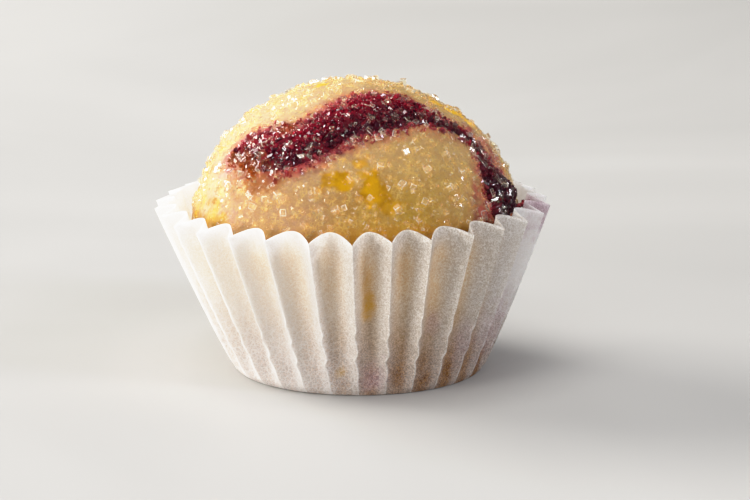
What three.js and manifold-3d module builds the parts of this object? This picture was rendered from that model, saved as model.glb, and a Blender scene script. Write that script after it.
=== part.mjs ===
// A sugared lemon sweet with a ribbon of berry jam, standing in a pleated paper case.
// Millimetres. +Z is up, -Y is towards the viewer of the front and +X is to that viewer's right.
// The origin is on the surface that the case stands on, under the middle of the case's rim.

import * as THREE from "three";
import { mergeVertices } from "three/addons/utils/BufferGeometryUtils.js";
import Module from "manifold-3d";

const wasm = await Module();
wasm.setup();

// Paper case: a disc of paper pressed into a cup, so every pleat keeps the wall's length along its slope.
const BASE_RADIUS = 12.5;
const WALL_LENGTH = 18;
const PLEATS = 30;
const VALLEY_RADIUS = 17.55; // of the rim, in the round valleys between the creases
const CREASE_RADIUS = 19.7; // of the rim, on the sharp outward creases
const PAPER = 0.3; // wall and floor, the wall measured towards the axis
const BASE_SHIFT = 0.8; // the base lies this far to +X of the rim's middle
const RIM_TILT = 0.2; // the rim is this much higher at +X than over its middle
const BASE_EDGE = 0.5; // slope where the base turns up into the wall
const VALLEY_ROUNDING = 2.5; // 0 is a sharp valley, larger is rounder
const FOLD_GROWTH = 0.75; // power of the share of the wall below that the folds deepen with
const CREASE_SWING = 1.1; // degrees that a crease may stray from even spacing
const CREASE_SPREAD = 0.1; // share that a crease's depth may stray
const PLEAT_SEED = 30;
const COLUMNS_PER_PLEAT = 8;
const WALL_ROWS = 3;

// Dough: it fills the case and rises above the rim as a dome.
const GAP = 0.3; // clear space between neighbours
const DOME_RADIUS = 16.2;
const DOME_WAIST = 14.2; // height of the dome's widest level
const DOME_TOP = 28.8;
const DOME_SHIFT = 0.46; // the dome's axis, to +X
const SHIFT_START = 10; // the dough's axis leaves the case's axis here and is the dome's at SHIFT_END
const SHIFT_END = 18;
const DOME_START = 86; // degrees from the top, where the dome ends and the case's slope begins
const FOOT_ROUNDING = 1.6;
const LUMP_HEIGHT = 0.25;
const LUMP_WAVES = [ // radians to a millimetre along x, y and z, and the phase at the origin
  { x: 0.38, y: 0.1, z: 0.27, phase: 0 },
  { x: -0.12, y: 0.4, z: 0.1, phase: 1.3 },
  { x: 0.1, y: 0.27, z: -0.42, phase: 2 },
];
const LUMPS_START = 16; // the lumps begin at this height and are full at LUMPS_FULL
const LUMPS_FULL = 20;
const DOUGH_COLUMNS = 66;
const WALL_STEPS = 4;
const FOOT_STEPS = 3;
const DOME_STEPS = 14;

// Jam ribbon, laid into the dome: degrees round from the front towards +X, degrees down from the top,
// half the width there, and how far the middle stands proud.
const RIBBON = [
  { around: -62, down: 56.8, half: 0.4, proud: 0.05 },
  { around: -55, down: 53, half: 1.4, proud: 0.1 },
  { around: -47, down: 50.9, half: 2.2, proud: 0.15 },
  { around: -37, down: 50, half: 2.35, proud: 0.2 },
  { around: -24, down: 45.3, half: 2.2, proud: 0.2 },
  { around: -9, down: 35, half: 2.45, proud: 0.2 },
  { around: 13, down: 29.5, half: 2.9, proud: 0.2 },
  { around: 34, down: 29.6, half: 2.4, proud: 0.2 },
  { around: 47, down: 35, half: 1.15, proud: 0.15 },
  { around: 57, down: 40, half: 0.7, proud: 0.1 },
  { around: 66, down: 47.5, half: 0.6, proud: 0.12 },
  { around: 67.5, down: 53.5, half: 0.6, proud: 0.15 },
  { around: 66, down: 59, half: 0.9, proud: 0.2 },
  { around: 65, down: 64.5, half: 1.6, proud: 0.45 },
  { around: 65.5, down: 70, half: 2.3, proud: 0.85 },
  { around: 66.5, down: 75, half: 2.8, proud: 0.9 },
  { around: 68, down: 79.5, half: 2.5, proud: 0.4 },
];
const JAM_DEPTH = 1.2; // under the dome, in the ribbon's middle
const JAM_EDGE = 0.25; // thickness that is left at the ribbon's edges
const GROOVE_GAP = 0.4; // clear space between the ribbon and the groove that it lies in
const RIBBON_STEPS = 40;
const RIBBON_ACROSS = 6;
const CUTTER_HEIGHT = 2; // how far the groove's cutter reaches out of the dome

// Sugar: the largest crystals of the coating.
const CRYSTAL_SMALL = 0.5;
const CRYSTAL_LARGE = 0.85;
const CRYSTALS_ON_DOUGH = 130; // before those over the ribbon are left out
const CRYSTALS_ON_JAM = 22;
const CRYSTALS_DOWN = 73; // degrees from the top that they reach down to
const CRYSTAL_CLEAR = 1.05; // from the ribbon's edge to the middle of a crystal on the dough
const CRYSTAL_INSIDE = 0.95; // from the ribbon's edge to the middle of a crystal on the jam
const CRYSTAL_RISE = 0.05; // share of its size that a crystal's middle is above the surface
const CRYSTAL_TILT = 0.5; // radians that a crystal may lean
const CRYSTAL_STRAY = 0.35; // share of the even spacing that a crystal may stray
const RIBBON_BARE = 0.08; // share of the ribbon's length at each end that has no crystals
const SUGAR_SEED = 21;

const MERGE = 1e-4;
const GOLDEN_ANGLE = Math.PI * (3 - Math.sqrt(5));

// Repeatable random numbers from 0 to 1.
function seeded(seed) {
  let state = seed;
  return () => {
    state = (state + 0x6d2b79f5) | 0;
    let mixed = Math.imul(state ^ (state >>> 15), 1 | state);
    mixed = (mixed + Math.imul(mixed ^ (mixed >>> 7), 61 | mixed)) ^ mixed;
    return ((mixed ^ (mixed >>> 14)) >>> 0) / 4294967296;
  };
}

const stray = (random, most) => (2 * random() - 1) * most;
const radians = THREE.MathUtils.degToRad;
const { lerp, smoothstep, euclideanModulo } = THREE.MathUtils;

// Meshes and solids

// The same surface with shared corners merged and triangles without area left out.
function closed(geometry) {
  const bare = new THREE.BufferGeometry();
  bare.setAttribute("position", geometry.getAttribute("position"));
  bare.setIndex(geometry.getIndex());
  const merged = mergeVertices(bare, MERGE);
  const corners = merged.getIndex().array;
  const kept = [];
  for (let i = 0; i < corners.length; i += 3) {
    const [a, b, c] = corners.subarray(i, i + 3);
    if (a !== b && b !== c && c !== a) kept.push(a, b, c);
  }
  merged.setIndex(kept);
  return merged;
}

function toSolid(geometry) {
  const surface = closed(geometry);
  return new wasm.Manifold(new wasm.Mesh({
    numProp: 3,
    vertProperties: Float32Array.from(surface.getAttribute("position").array),
    triVerts: Uint32Array.from(surface.getIndex().array),
  }));
}

function toGeometry(solid) {
  const { vertProperties, triVerts } = solid.getMesh();
  const geometry = new THREE.BufferGeometry();
  geometry.setAttribute("position", new THREE.BufferAttribute(vertProperties, 3));
  geometry.setIndex(new THREE.BufferAttribute(triVerts, 1));
  return geometry;
}

// Moves every vertex of a geometry to where place puts it.
function reshape(geometry, place) {
  const position = geometry.getAttribute("position");
  const point = new THREE.Vector3();
  for (let i = 0; i < position.count; i += 1) {
    point.fromBufferAttribute(position, i);
    position.setXYZ(i, ...place(point));
  }
  return geometry;
}

// A profile of (radius, height) points turned about +Z, starting at the front.
function turned(profile, columns) {
  return new THREE.LatheGeometry(profile, columns).rotateX(Math.PI / 2);
}

// Paper case

const rise = (rimRadius) => Math.sqrt(WALL_LENGTH ** 2 - (rimRadius - BASE_RADIUS) ** 2);
const VALLEY_RISE = rise(VALLEY_RADIUS);
const CREASE_DROP = VALLEY_RISE - rise(CREASE_RADIUS);
const PITCH = (2 * Math.PI) / PLEATS;

// Outer radius of the wall along a valley, and how far the case's axis lies to +X, both at a height.
const wallRadius = (height) => lerp(BASE_RADIUS, VALLEY_RADIUS, height / VALLEY_RISE);
const caseShift = (height) => BASE_SHIFT * (1 - Math.min(height / VALLEY_RISE, 1));

// How far out the paper is folded: 1 on the sharp crease, 0 in the middle of the round valley.
function fold(away) {
  const round = VALLEY_ROUNDING;
  return (Math.hypot(1 - away, round) - round) / (Math.hypot(1, round) - round);
}

function makePaperCase() {
  const heights = [];
  for (let i = 0; i <= WALL_ROWS; i += 1) heights.push(lerp(BASE_EDGE, VALLEY_RISE, i / WALL_ROWS));
  const outside = heights.map((z) => new THREE.Vector2(wallRadius(z), z));
  const inside = [PAPER, ...heights.slice(1)].map((z) => new THREE.Vector2(wallRadius(z) - PAPER, z));
  const profile = [
    new THREE.Vector2(0, 0),
    new THREE.Vector2(BASE_RADIUS - BASE_EDGE, 0),
    ...outside,
    ...inside.reverse(),
    new THREE.Vector2(0, PAPER),
  ];
  const random = seeded(PLEAT_SEED);
  const creases = Array.from({ length: PLEATS }, () => ({
    swing: radians(stray(random, CREASE_SWING)),
    depth: 1 + stray(random, CREASE_SPREAD),
  }));
  return reshape(turned(profile, PLEATS * COLUMNS_PER_PLEAT), ({ x, y, z }) => {
    const share = Math.max(0, (z - PAPER) / (VALLEY_RISE - PAPER));
    const pitches = Math.atan2(x, -y) / PITCH;
    const nearest = Math.round(pitches);
    const away = 2 * Math.abs(pitches - nearest);
    const crease = creases[euclideanModulo(nearest, PLEATS)];
    const folded = share ** FOLD_GROWTH * crease.depth * fold(away);
    const angle = pitches * PITCH + crease.swing * share * (1 - away);
    const radius = Math.hypot(x, y) + (CREASE_RADIUS - VALLEY_RADIUS) * folded;
    return [
      radius * Math.sin(angle) + caseShift(z),
      -radius * Math.cos(angle),
      z - CREASE_DROP * folded + RIM_TILT * share * Math.sin(angle),
    ];
  });
}

// Dough

const FLOOR = PAPER + GAP;
const DOME_HEIGHT = DOME_TOP - DOME_WAIST;
const DOME_AXES = new THREE.Vector3(DOME_RADIUS, DOME_RADIUS, DOME_HEIGHT);
const DOME_CENTRE = new THREE.Vector3(0, 0, DOME_WAIST);

const doughShift = (height) => lerp(caseShift(height), DOME_SHIFT, smoothstep(height, SHIFT_START, SHIFT_END));

// The dome over its waist, and the case's slope less a gap where that is narrower.
function doughRadius(height) {
  const up = Math.max(0, height - DOME_WAIST) / DOME_HEIGHT;
  const dome = DOME_RADIUS * Math.sqrt(Math.max(0, 1 - up * up));
  const aside = doughShift(height) - caseShift(height);
  return Math.min(dome, wallRadius(height) - PAPER - GAP - Math.max(0, aside));
}

const domePoint = (around, down) => new THREE.Vector3(
  Math.sin(down) * Math.sin(around),
  -Math.sin(down) * Math.cos(around),
  Math.cos(down),
).multiply(DOME_AXES).add(DOME_CENTRE);

const domeNormal = (point) => point.clone().sub(DOME_CENTRE).divide(DOME_AXES).divide(DOME_AXES).normalize();

// The point of the dome that lies in the direction of any point, seen from the dome's centre.
function ontoDome(point) {
  return point.clone().sub(DOME_CENTRE).divide(DOME_AXES).normalize().multiply(DOME_AXES).add(DOME_CENTRE);
}

// Puts a point of the even dough where the leaning, slightly lumpy dough has it.
function settle(point) {
  let wave = 0;
  for (const { x, y, z, phase } of LUMP_WAVES) {
    wave += Math.sin(x * point.x + y * point.y + z * point.z + phase) / LUMP_WAVES.length;
  }
  const lump = LUMP_HEIGHT * wave * smoothstep(point.z, LUMPS_START, LUMPS_FULL);
  const settled = point.clone().addScaledVector(domeNormal(point), lump);
  settled.x += doughShift(point.z);
  return settled;
}

function makeDoughBlank() {
  const profile = [new THREE.Vector2(0, FLOOR)];
  const foot = doughRadius(FLOOR + FOOT_ROUNDING) - FOOT_ROUNDING;
  for (let i = 0; i < FOOT_STEPS; i += 1) {
    const turn = (i / FOOT_STEPS) * (Math.PI / 2);
    profile.push(new THREE.Vector2(
      foot + FOOT_ROUNDING * Math.sin(turn),
      FLOOR + FOOT_ROUNDING * (1 - Math.cos(turn)),
    ));
  }
  const domeStart = DOME_WAIST + DOME_HEIGHT * Math.cos(radians(DOME_START));
  for (let i = 0; i < WALL_STEPS; i += 1) {
    const height = lerp(FLOOR + FOOT_ROUNDING, domeStart, i / WALL_STEPS);
    profile.push(new THREE.Vector2(doughRadius(height), height));
  }
  for (let i = DOME_STEPS; i > 0; i -= 1) {
    const height = DOME_WAIST + DOME_HEIGHT * Math.cos(radians((DOME_START * i) / DOME_STEPS));
    profile.push(new THREE.Vector2(doughRadius(height), height));
  }
  profile.push(new THREE.Vector2(0, DOME_TOP));
  return reshape(turned(profile, DOUGH_COLUMNS), settle);
}

// Jam ribbon

const ribbonLine = new THREE.CatmullRomCurve3(
  RIBBON.map(({ around, down }) => domePoint(radians(around), radians(down))),
);
const ribbonBody = new THREE.CatmullRomCurve3(RIBBON.map(({ half, proud }) => new THREE.Vector3(half, proud, 0)));

// A point of the even dome on the ribbon: along runs from 0 to 1, across from -1 to 1 over half the width,
// and past is how far the point lies beyond the ribbon's end.
function ribbonPoint(along, across, half, past = 0) {
  const middle = ontoDome(ribbonLine.getPoint(along));
  const tangent = ribbonLine.getTangent(along);
  const side = domeNormal(middle).cross(tangent).normalize();
  return ontoDome(middle.addScaledVector(side, across * half).addScaledVector(tangent, past));
}

// A strip along the ribbon, wider and longer by extra all round, its outer and inner faces at the heights
// that the two functions give.
function makeStrip(extra, outer, inner) {
  const block = new THREE.BoxGeometry(1, 2, 1, RIBBON_STEPS, RIBBON_ACROSS, 1);
  return reshape(block, (corner) => {
    const along = corner.x + 0.5;
    const across = corner.y;
    const { x: half, y: proud } = ribbonBody.getPoint(along);
    const past = Math.abs(corner.x) < 0.5 ? 0 : extra * Math.sign(corner.x);
    const point = ribbonPoint(along, across, half + extra, past);
    const height = corner.z > 0 ? outer(across, proud) : inner(across);
    return settle(point.addScaledVector(domeNormal(point), height));
  });
}

const crown = (across) => 1 - across * across;
const makeRibbon = () => makeStrip(
  0,
  (across, proud) => proud * crown(across),
  (across) => -JAM_EDGE - (JAM_DEPTH - JAM_EDGE) * crown(across),
);
const makeGrooveCutter = () => makeStrip(
  GROOVE_GAP,
  () => CUTTER_HEIGHT,
  (across) => -JAM_EDGE - GROOVE_GAP - (JAM_DEPTH - JAM_EDGE) * crown(across),
);

// Sugar

const sugarRandom = seeded(SUGAR_SEED);
const sugarStray = (most) => stray(sugarRandom, most);

// One crystal, a turned block, with its lower half in the surface at point.
function makeCrystal(point, normal) {
  const [a, b, c] = [0, 1, 2].map(() => lerp(CRYSTAL_SMALL, CRYSTAL_LARGE, sugarRandom()));
  const upright = new THREE.Quaternion().setFromUnitVectors(new THREE.Vector3(0, 0, 1), normal);
  const turn = new THREE.Euler(sugarStray(CRYSTAL_TILT), sugarStray(CRYSTAL_TILT), sugarStray(Math.PI));
  upright.multiply(new THREE.Quaternion().setFromEuler(turn));
  return new THREE.BoxGeometry(a, b, c)
    .applyQuaternion(upright)
    .translate(...point.clone().addScaledVector(normal, CRYSTAL_RISE * c));
}

// Distance from a settled point to the ribbon's nearest edge; below 0 the point is on the ribbon.
function distanceToRibbon(point) {
  let nearest = Infinity;
  for (let i = 0; i <= RIBBON_STEPS; i += 1) {
    const along = i / RIBBON_STEPS;
    const middle = settle(ribbonPoint(along, 0, 0));
    nearest = Math.min(nearest, middle.distanceTo(point) - ribbonBody.getPoint(along).x);
  }
  return nearest;
}

function addDoughCrystals(solid) {
  const lowest = Math.cos(radians(CRYSTALS_DOWN));
  let sugared = solid;
  for (let i = 0; i < CRYSTALS_ON_DOUGH; i += 1) {
    const share = (i + 0.5 + sugarStray(CRYSTAL_STRAY)) / CRYSTALS_ON_DOUGH;
    const even = domePoint(i * GOLDEN_ANGLE, Math.acos(lerp(1, lowest, share)));
    const crystal = makeCrystal(settle(even), domeNormal(even));
    if (distanceToRibbon(settle(even)) < CRYSTAL_CLEAR) continue;
    sugared = sugared.add(toSolid(crystal));
  }
  return sugared;
}

function addJamCrystals(solid) {
  let sugared = solid;
  for (let i = 0; i < CRYSTALS_ON_JAM; i += 1) {
    const share = (i + 0.5 + sugarStray(CRYSTAL_STRAY)) / CRYSTALS_ON_JAM;
    const along = lerp(RIBBON_BARE, 1 - RIBBON_BARE, share);
    const { x: half, y: proud } = ribbonBody.getPoint(along);
    const across = sugarStray(Math.max(0, 1 - CRYSTAL_INSIDE / half));
    const even = ribbonPoint(along, across, half);
    const normal = domeNormal(even);
    const top = settle(even.addScaledVector(normal, proud * crown(across)));
    sugared = sugared.add(toSolid(makeCrystal(top, normal)));
  }
  return sugared;
}

// The sweet in its case

function piece(name, geometry, look) {
  const mesh = new THREE.Mesh(geometry, new THREE.MeshStandardMaterial({ metalness: 0, ...look }));
  mesh.name = name;
  return mesh;
}

const paperCase = closed(makePaperCase());
const grooved = toSolid(makeDoughBlank()).subtract(toSolid(makeGrooveCutter()));
const dough = toGeometry(addDoughCrystals(grooved));
const jam = toGeometry(addJamCrystals(toSolid(makeRibbon())));

const sweet = new THREE.Group();
sweet.add(
  piece("paper_case", paperCase, { color: 0xf1eee8, roughness: 0.85 }),
  piece("dough", dough, { color: 0xc79a5e, roughness: 0.6 }),
  piece("jam", jam, { color: 0x4d1220, roughness: 0.25 }),
);

export default sweet;
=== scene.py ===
"""Looks of a sugared lemon sweet with a ribbon of berry jam, standing in a pleated paper case.

Shapes are worked out in millimetres and become metres when a mesh is made. +Z is up, the front faces -Y.
"""

import math
from itertools import product

import bpy
import numpy as np
from mathutils import Color, Matrix, Quaternion, Vector, noise


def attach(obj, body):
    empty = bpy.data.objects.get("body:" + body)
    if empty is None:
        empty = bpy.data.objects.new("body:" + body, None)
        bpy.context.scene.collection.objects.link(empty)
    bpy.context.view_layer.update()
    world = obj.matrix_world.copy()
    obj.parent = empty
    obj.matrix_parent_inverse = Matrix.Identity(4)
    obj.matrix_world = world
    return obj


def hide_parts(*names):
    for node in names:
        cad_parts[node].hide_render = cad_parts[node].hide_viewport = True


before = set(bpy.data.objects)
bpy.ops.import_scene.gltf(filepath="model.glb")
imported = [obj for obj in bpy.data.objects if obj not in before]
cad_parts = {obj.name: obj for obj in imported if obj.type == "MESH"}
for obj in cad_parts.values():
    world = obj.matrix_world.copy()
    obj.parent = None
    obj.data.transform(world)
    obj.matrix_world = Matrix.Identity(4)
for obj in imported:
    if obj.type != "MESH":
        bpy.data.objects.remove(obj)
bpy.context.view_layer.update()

MM = 0.001

# Camera, as the photograph was taken: it looks at AIM from the front and slightly above.
AIM = (2.393, 0, 11.7)
CAMERA_DISTANCE = 316
CAMERA_LIFT = math.radians(12.62)
CAMERA_LENS = 152.2
CAMERA_NEAR = 10
TO_CAMERA = np.array([0, -math.cos(CAMERA_LIFT), math.sin(CAMERA_LIFT)])

# Paper case, with the driving sizes of its solid
BASE_RADIUS = 12.5
WALL_LENGTH = 18
PLEATS = 30
VALLEY_RADIUS = 17.55
CREASE_RADIUS = 19.7
SOLID_PAPER = 0.3  # the solid's paper, which the pleats start from
BASE_SHIFT = 0.8
RIM_TILT = 0.2
VALLEY_ROUNDING = 2.5
CREASE_SWING = 1.1
CREASE_SPREAD = 0.1
FOLD_GROWTH = 0.75  # power of the share of the wall below that the folds deepen with
PLEAT_SEED = 30

# Paper as it looks: a thin sheet, with creases that waver in the lower part of the wall
SHEET = 0.1
BASE_CURVE = 0.5
COLUMNS_PER_PLEAT = 20
FLOOR_START = 2  # radius of the floor's first ring
FLOOR_ROWS = 3
CURVE_ROWS = 6
WALL_ROWS = 72
CRINKLE = 0.14
CRINKLE_LENGTH = 2.6
CRINKLE_LENGTHS = 0.2  # share by which the length differs from crease to crease
CRINKLE_HEIGHTS = (0.02, 0.22, 0.66)  # shares of the wall where it begins, is strongest and ends
CRINKLE_PHASES = 2.2  # radians over which the creases' waves start
CRINKLE_STEP = 0.5  # radians that each crease's wave starts after the last one
CRINKLE_OVERTONE = (0.35, 0.6)  # strength and start of a second wave of half the length
CRINKLE_FADE = 3  # power with which it fades from a crease to the valleys

# Stains on the paper: degrees round from the front, height, half their width and height, strength
LEMON_STAINS = (
    (5.2, 9.8, 0.75, 2.2, 0.85),
    (5, 12.2, 0.65, 2, 0.4),
    (-7, 2.6, 0.6, 0.7, 0.4),
)
BERRY_STAINS = (
    (6.5, 1.9, 1.5, 2, 0.4),
    (11.5, 4.5, 0.5, 0.6, 0.5),
    (13.5, 3.6, 0.25, 0.25, 1),
    (30, 7.5, 0.9, 1.6, 0.3),
    (48, 5, 1.6, 3, 0.3),
    (66, 6, 2.6, 5, 0.35),
    (82, 15.8, 3.6, 2.4, 0.8),
)
STAIN_FADE = (0.2, 1.3)  # shares of a stain's half width between which it fades out
STAIN_ROUGHNESS = 0.35

# Dough, with the driving sizes of its solid
DOME_RADIUS = 16.2
DOME_WAIST = 14.2
DOME_TOP = 28.8
DOME_SHIFT = 0.46
SHIFT_START = 10
SHIFT_END = 18
DOME_START = 86
LUMP_HEIGHT = 0.25
LUMP_WAVES = ((0.38, 0.1, 0.27, 0), (-0.12, 0.4, 0.1, 1.3), (0.1, 0.27, -0.42, 2))
LUMPS_START = 16
LUMPS_FULL = 20
CONTACT_GAP = 0.1  # between the dough and the paper's valleys
RELIEF_HEIGHTS = (15, 18)  # heights between which the dough's fine relief sets in
GROOVE_DEPTH = 0.45  # of the bed that the ribbon lies in
GROOVE_SLOPE = 1
DOUGH_COLUMNS = 480
DOUGH_WALL_ROWS = 14
DOUGH_DOME_ROWS = 150

# Jam ribbon: degrees round from the front towards +X, degrees down from the top, half the width there,
# and how far the middle stands proud
RIBBON = (
    (-62, 56.8, 0.4, 0.05),
    (-55, 53, 1.4, 0.1),
    (-47, 50.9, 2.2, 0.15),
    (-37, 50, 2.35, 0.2),
    (-24, 45.3, 2.2, 0.2),
    (-9, 35, 2.45, 0.2),
    (13, 29.5, 2.9, 0.2),
    (34, 29.6, 2.4, 0.2),
    (47, 35, 1.15, 0.15),
    (57, 40, 0.7, 0.1),
    (66, 47.5, 0.6, 0.12),
    (67.5, 53.5, 0.6, 0.15),
    (66, 59, 0.9, 0.2),
    (65, 64.5, 1.6, 0.45),
    (65.5, 70, 2.3, 0.85),
    (66.5, 75, 2.8, 0.9),
    (68, 79.5, 2.5, 0.4),
)
JAM_DEPTH = 1.2
JAM_EDGE = 0.25
JAM_SINK = 0.12  # how deep the ribbon's edges lie in the dome
JAM_CROWN = 0.22  # how far the middle stands over the edges, besides standing proud
RAGGED = 0.22  # share of half the width that the ribbon's edges are ragged by
RAGGED_WAVES = (34, 90)
RIBBON_STEPS = 320
RIBBON_ACROSS = 40
RIBBON_PROBES = 90

# Sugar: the large crystals stand where the solids have them
CRYSTAL_SMALL = 0.5
CRYSTAL_LARGE = 0.85
CRYSTALS_ON_DOUGH = 130
CRYSTALS_ON_JAM = 22
CRYSTALS_DOWN = 73
CRYSTAL_CLEAR = 1.05
CRYSTAL_INSIDE = 0.95
CRYSTAL_RISE = 0.05
CRYSTAL_TILT = 0.5
CRYSTAL_STRAY = 0.35
RIBBON_BARE = 0.08
SOLID_STEPS = 40
SUGAR_SEED = 21
CHAMFER = 0.1  # share of a crystal's size that its edges are worn by
GRAINS_ON_DOUGH = 4300
LOOSE_SHARE = 0.1  # of the grains on the dough that lie on it rather than sunk in
LOOSE_TILT = 0.3
LOOSE_FROST = (0.15, 0.75)  # least and most frost on a loose crystal
LARGE_FROST = 0.4  # share of the frost that the large crystals on the jam keep
GRAINS_ON_JAM = 600
SOAKED_GRAINS = 3000
MARGIN_GRAINS = 760
MARGIN_CRYSTALS = 260
MARGIN = 1.1
FINE_GRAINS = 9000
GRAINS_DOWN = 84
GRAINS_CLEAR = 0.1  # how far the grains on the dough keep from the ribbon
SUGARED_ACROSS = 0.95  # share of the ribbon's width that crystals lie on
GRAIN_SIZES = (0.2, 0.62)
GRAIN_SIDES = (0.6, 1.4)  # shares of a grain's size that its sides take
SMALLER_OFTEN = 2.6  # power that makes small grains commoner than large ones
NEEDLE = 1.8  # how much longer the crystals on the jam are
SOAKED_SIZES = (0.14, 0.46)
FINE_SIZES = (0.1, 0.3)
GRAIN_SEED = 7
TOP_CRYSTAL = (115, 18.5)  # degrees round and down of one crystal that stands on the dome's outline
TOP_CRYSTAL_SIZE = (0.7, 0.9, 0.6)
TOP_CRYSTAL_RISE = 0.4
SUGAR_BENDING = 1.36  # refractive index

# Lifts: shares of a crystal's size by which its middle is over the surface
SUNK_LIFTS = (-0.55, -0.2)
LOOSE_LIFTS = (-0.1, 0.2)
LOOSE_FROM = -0.12  # lift from which a crystal counts as loose
MARGIN_LIFTS = (-0.35, 0.1)
FINE_LIFTS = (-0.5, 0)
ON_JAM_LIFTS = (-0.2, 0.2)
SOAKED_LIFTS = (-0.45, 0.08)

# A thread of jam from the ribbon's end to the rim, by points that it runs through
THREAD = ((15.9, -3.4, 16.4), (16.6, -2.4, 16.7), (17.5, -1.6, 16.9))
THREAD_RADIUS = 0.12
THREAD_GRAINS = 36

# Lamps: place, width, power in watts, colour, and whether glossy surfaces mirror them
LAMPS = {
    "window": ((-580, 320, 220), 450, 11.2, (1, 0.99, 0.97), True),
    "softbox": ((-550, -400, 110), 260, 4.1, (1, 0.99, 0.98), True),
    "front": ((-220, -620, 260), 450, 0.8, (1, 1, 1), False),
    "spark": ((430, -260, 260), 110, 1.45, (0.86, 0.88, 1), True),
    "ceiling": ((-100, -100, 700), 400, 2.8, (1, 1, 1), False),
    "fill": ((560, 260, 200), 400, 0.5, (0.97, 0.98, 1), False),
}
GLINT_LAMPS = [place for place, *_, mirrored in LAMPS.values() if mirrored]
LAMP_AIM = (0, 0, 14)
LEFT_SKY = (0.36, 0.36, 0.36, 1)
RIGHT_SKY = (0.28, 0.28, 0.29, 1)
FLOOR_HALF = 2500
FLOOR_LEVEL = -0.01

# Glints: shares of the crystals that mirror a lamp, and how far they stray from mirroring it
DOUGH_GLINTS = 0.06
RIBBON_END_GLINTS = 0.85
RIBBON_MIDDLE_GLINTS = 0.22
GLINT_STRAY = 0.07
LEFT_END = (-6, -2)  # places in X where the ribbon's left end passes into its middle
RIGHT_END = (8, 12)
LAMP_IN_SIGHT = 0.1  # cosine of the widest angle at which a lamp shines on the dough

# Light from which the picture rolls off towards white, and light at which it is white
ROLL_OFF = 0.72
BRIGHTEST = 2
CURVE_POINTS = 9

# Zest in the dough: degrees round from the front, degrees down from the top, radius, strength
ZEST = (
    (-10.5, 60, 1.1, 0.9),
    (-5.5, 60.5, 1.3, 1),
    (-1.5, 61, 0.9, 0.8),
    (3, 53.5, 0.9, 0.8),
    (4.8, 57, 1.1, 0.9),
    (7, 61.5, 1.5, 1),
    (9.8, 65, 1.4, 1),
    (12.3, 69, 1.1, 0.9),
    (-60, 79.5, 2.1, 1),
    (-54.5, 81, 1.4, 1),
    (-73, 79, 1.6, 0.9),
    (-79, 12, 0.9, 0.9),
    (79, 30.5, 0.7, 0.8),
    (86, 37, 1.2, 1),
    (95, 40, 1.5, 1),
    (90, 43, 1.2, 1),
    (150, 48, 1.6, 0.8),
    (195, 60, 1.3, 0.8),
    (128, 66, 1.4, 0.7),
    (-135, 40, 1.2, 0.45),
)
ZEST_FADE = (0.55, 1.15)  # shares of a spot's radius between which it fades out
STRONG_ZEST = 0.3  # strength from which little sugar sticks to the zest
GRAINS_ON_ZEST = 0.45
FINE_ON_ZEST = 0.25

# Juice in the dough, by the same four numbers: brown at the ribbon's left end and red at its right end
BROWN = (
    (-59, 57.5, 1, 1),
    (-51, 59.2, 2, 1),
    (-44, 61, 2.2, 1),
    (-38, 62.2, 1.8, 0.8),
    (-33, 63, 1.3, 0.5),
    (-65.5, 59.5, 0.8, 0.8),
    (-75.5, 63, 0.6, 0.6),
    (-38, 41, 0.9, 0.8),
)
JUICE = (
    (66, 41, 1, 0.6),
    (75, 46, 1.4, 0.9),
    (78, 51, 1.6, 0.9),
    (80, 57, 1.7, 0.9),
    (77, 64, 1.5, 0.9),
    (59, 62, 1.2, 0.7),
    (53, 70, 1.8, 0.8),
    (53, 77.5, 2.2, 0.85),
)
JUICE_FADE = (0.25, 1.35)
SPOT_ROUGHNESS = 0.7

# Juice along the ribbon: how far it reaches, and its share right of the places where it gets weaker
JUICE_REACH = 2.2
JUICE_RIGHT = 0.6
JUICE_WEAKENS = (-1, 4)

# Layers of smooth noise: strength, size of the bumps, and where in the noise a layer starts
STAIN_NOISE = ((1, 0.9, 21), (0.6, 0.35, 25))
SPOT_NOISE = ((1, 1.1, 5), (0.6, 0.45, 9))
JUICE_NOISE = ((0.55, 1.4, 11), (0.5, 0.5, 13))
DOUGH_RELIEF = ((0.04, 1.3, 0), (0.025, 0.55, 3), (0.01, 0.28, 7))
JAM_LUMPS = ((0.16, 1, 2), (0.13, 0.5, 4), (0.05, 0.25, 6))

BUMP_STRENGTH = 0.6
GOLDEN_ANGLE = math.pi * (3 - math.sqrt(5))
MASK = 0xFFFFFFFF


def srgb(red, green, blue):
    """A colour of the screen, from 0 to 255, as the linear colour that shaders take."""
    return (*Color((red / 255, green / 255, blue / 255)).from_srgb_to_scene_linear(), 1)


def smoothstep(value, low, high):
    share = np.clip((np.asarray(value, float) - low) / (high - low), 0, 1)
    return share * share * (3 - 2 * share)


def lerp(start, end, share):
    return start + (end - start) * share


def seeded(seed):
    """The solids' own repeatable random numbers from 0 to 1."""
    state = seed
    while True:
        state = (state + 0x6D2B79F5) & MASK
        mixed = ((state ^ (state >> 15)) * (1 | state)) & MASK
        mixed = ((mixed + ((mixed ^ (mixed >> 7)) * (61 | mixed))) & MASK) ^ mixed
        yield ((mixed ^ (mixed >> 14)) & MASK) / (MASK + 1)


def stray(random, most):
    return (2 * next(random) - 1) * most


def uneven(points, layers):
    """Layers of smooth noise, each from about -1 to 1 times its strength, added up at each point."""
    total = np.zeros(len(points))
    for strength, size, start in layers:
        total += [strength * noise.noise(place) for place in (points / size + start).tolist()]
    return total


def blotted(points, blots, rough, fade):
    """How strongly points are coloured by rough blots, each with a centre, half sizes and a strength."""
    share = np.zeros(len(points))
    for centre, half, strength in blots:
        far = np.linalg.norm((points - centre) / half, axis=1) + rough
        share = np.maximum(share, strength * (1 - smoothstep(far, *fade)))
    return share


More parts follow.
